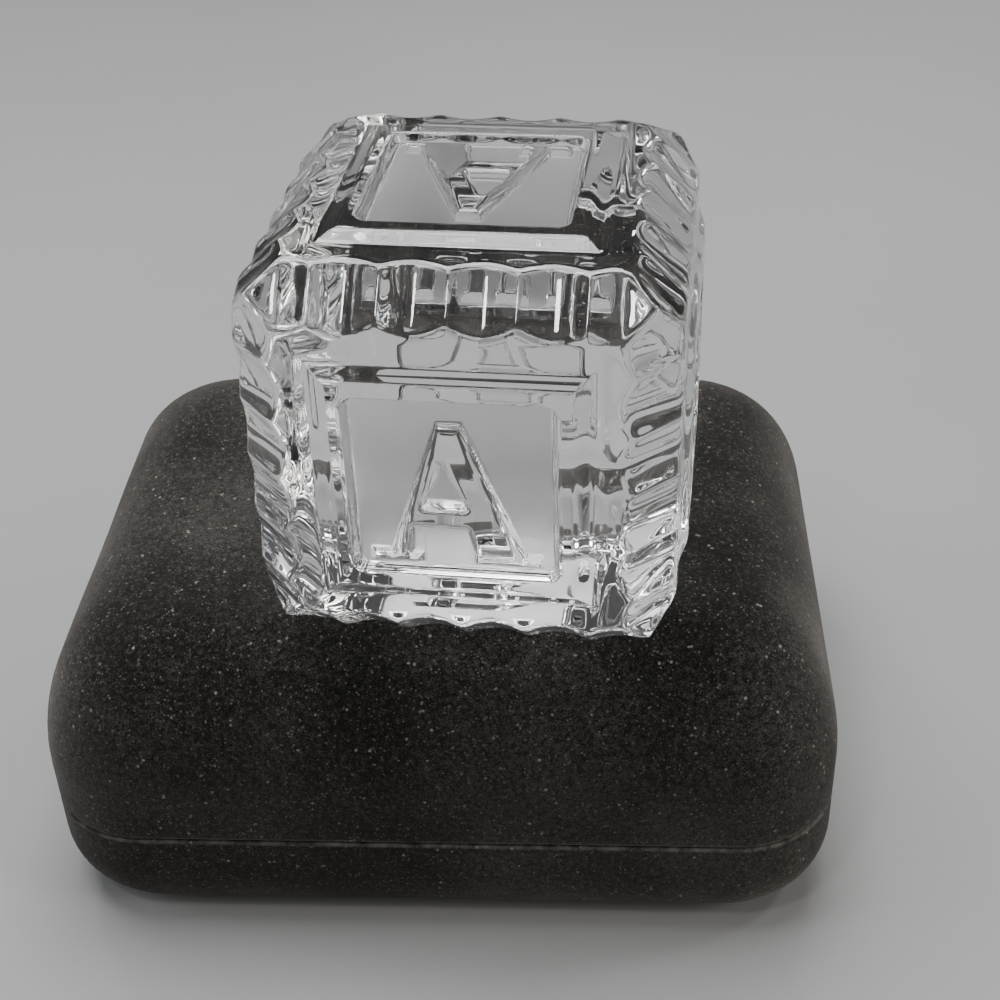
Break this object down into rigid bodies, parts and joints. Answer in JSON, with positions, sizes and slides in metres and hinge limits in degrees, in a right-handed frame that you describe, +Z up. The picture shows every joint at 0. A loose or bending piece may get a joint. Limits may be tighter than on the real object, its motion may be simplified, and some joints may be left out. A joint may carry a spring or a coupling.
{
  "type": "crystal block award on a presentation case",
  "caption": "Clear cut-crystal alphabet block with fluted chamfers and framed raised letters, standing on a closed black velvet presentation case with a hinged lid.",
  "frame": {"origin": "centre of the case's outline, on the surface it rests on", "axes": "+Z up, +X to the right across the case's long side, +Y from the front of the case to its hinges"},
  "size_m": [0.114, 0.0902, 0.1045],
  "materials": {
    "crystal": "polished, clear",
    "case_velvet": "flocked velvet",
    "case_shell": "moulded, matte",
    "rim_brass": "satin",
    "hinge_steel": "drawn wire, bright",
    "card": "grey board",
    "foot_paper": "embossed black paper",
    "lining_velvet": "flocked velvet",
    "lining_satin": "puffed satin"
  },
  "bodies": {
    "base": {"base_sheet": "foot_paper", "base_velvet": "case_velvet", "base_shell": "case_shell", "base_rim_frame": "rim_brass", "base_card": "card", "base_pad": "lining_velvet", "hinge_left_base_leaf": "rim_brass", "hinge_left_pin": "hinge_steel", "hinge_left_spring": "hinge_steel", "hinge_left_base_rivet_1": "rim_brass", "hinge_left_base_rivet_2": "rim_brass", "hinge_right_base_leaf": "rim_brass", "hinge_right_pin": "hinge_steel", "hinge_right_spring": "hinge_steel", "hinge_right_base_rivet_1": "rim_brass", "hinge_right_base_rivet_2": "rim_brass"},
    "lid": {"lid_velvet": "case_velvet", "lid_shell": "case_shell", "lid_rim_frame": "rim_brass", "lid_card": "card", "lid_pad": "lining_satin", "hinge_left_lid_leaf": "rim_brass", "hinge_left_lid_rivet_1": "rim_brass", "hinge_left_lid_rivet_2": "rim_brass", "hinge_right_lid_leaf": "rim_brass", "hinge_right_lid_rivet_1": "rim_brass", "hinge_right_lid_rivet_2": "rim_brass"},
    "block": {"crystal_block": "crystal"}
  },
  "joints": [
    {"name": "lid_hinge", "type": "hinge", "parent": "base", "child": "lid", "pos_m": [0, 0.0445, 0.017], "axis": [-1, 0, 0], "range_deg": [0, 95]},
    {"name": "block_lift", "type": "slide", "parent": "lid", "child": "block", "axis": [0, 0, 1], "range_m": [0, 0.07]}
  ]
}
